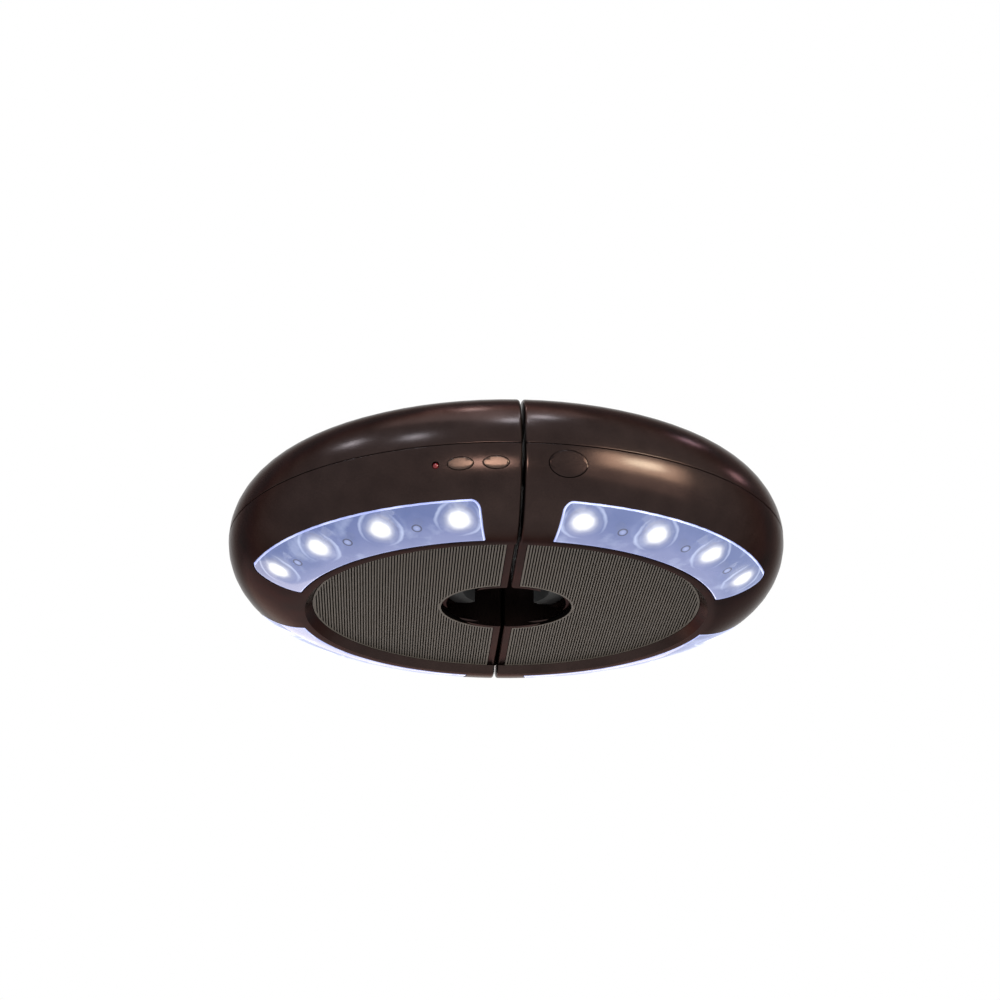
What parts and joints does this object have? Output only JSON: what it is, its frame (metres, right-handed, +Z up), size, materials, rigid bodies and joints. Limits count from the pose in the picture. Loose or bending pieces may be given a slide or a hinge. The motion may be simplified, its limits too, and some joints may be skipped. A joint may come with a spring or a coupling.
{
  "type": "patio umbrella light",
  "caption": "Ring-shaped light in two hinged half rings that clamps round an umbrella pole, with lens strips, sprung jaws, push buttons and a snap latch.",
  "frame": {"origin": "on the axis of the pole, in the plane of the underside rim", "axes": "+Z up along the pole, -Y to the front seam with the latch, +X to the half with the unlock button"},
  "size_m": [0.246, 0.246, 0.063],
  "materials": {
    "shell": "satin metallic bronze plastic",
    "ribbed_plate": "satin brown plastic with fine ribs",
    "lens": "clear polished plastic",
    "reflector": "bright metallised",
    "circuit_board": "green solder mask",
    "diode": "lit white diode",
    "steel": "zinc plated",
    "inner_black": "moulded black plastic",
    "cell": "plain wrapped cell",
    "rubber": "matt black rubber",
    "indicator": "clear red plastic",
    "button": "satin bronze plastic"
  },
  "bodies": {
    "left_half": {"left_lower_shell": "shell", "left_top_cover": "shell", "left_base_plate": "ribbed_plate", "left_front_lens": "lens", "left_rear_lens": "lens", "left_front_reflector": "reflector", "left_rear_reflector": "reflector", "left_front_boards": "circuit_board", "left_rear_boards": "circuit_board", "left_front_leds": "diode", "left_rear_leds": "diode", "left_lens_screws": "steel", "left_cover_screws": "steel", "left_battery_tray": "inner_black", "left_cells": "cell", "left_jaw_guide": "inner_black", "left_jaw_springs": "steel", "hinge_pin": "steel", "latch_strike": "steel", "control_board": "circuit_board", "indicator_lamp": "indicator"},
    "right_half": {"right_lower_shell": "shell", "right_top_cover": "shell", "right_base_plate": "ribbed_plate", "right_front_lens": "lens", "right_rear_lens": "lens", "right_front_reflector": "reflector", "right_rear_reflector": "reflector", "right_front_boards": "circuit_board", "right_rear_boards": "circuit_board", "right_front_leds": "diode", "right_rear_leds": "diode", "right_lens_screws": "steel", "right_cover_screws": "steel", "right_battery_tray": "inner_black", "right_cells": "cell", "right_jaw_guide": "inner_black", "right_jaw_springs": "steel", "latch_arm": "inner_black"},
    "left_jaw": {"left_jaw_carrier": "inner_black", "left_jaw_pad": "rubber"},
    "right_jaw": {"right_jaw_carrier": "inner_black", "right_jaw_pad": "rubber"},
    "power_button": {"power_button": "button"},
    "brightness_button": {"brightness_button": "button"},
    "unlock_button": {"unlock_button": "button"}
  },
  "joints": [
    {"name": "halves_hinge", "type": "hinge", "parent": "left_half", "child": "right_half", "pos_m": [0, 0.1165, 0.028], "axis": [0, 0, 1], "range_deg": [0, 60]},
    {"name": "left_jaw_slide", "type": "slide", "parent": "left_half", "child": "left_jaw", "axis": [-1, 0, 0], "range_m": [0, 0.0084], "stiffness_N_per_m": 400, "springref_m": -0.004, "deforming": ["left_jaw_springs"]},
    {"name": "right_jaw_slide", "type": "slide", "parent": "right_half", "child": "right_jaw", "axis": [1, 0, 0], "range_m": [0, 0.0084], "stiffness_N_per_m": 400, "springref_m": -0.004, "deforming": ["right_jaw_springs"]},
    {"name": "power_press", "type": "slide", "parent": "left_half", "child": "power_button", "axis": [0.1882, 0.9821, 0], "range_m": [0, 0.001], "stiffness_N_per_m": 500, "springref_m": -0.0005},
    {"name": "brightness_press", "type": "slide", "parent": "left_half", "child": "brightness_button", "axis": [0.1882, 0.9821, 0], "range_m": [0, 0.001], "stiffness_N_per_m": 500, "springref_m": -0.0005},
    {"name": "unlock_press", "type": "slide", "parent": "right_half", "child": "unlock_button", "axis": [-0.1461, 0.9893, 0], "range_m": [0, 0.002], "stiffness_N_per_m": 600, "springref_m": -0.0005, "deforming": ["latch_arm"]}
  ]
}
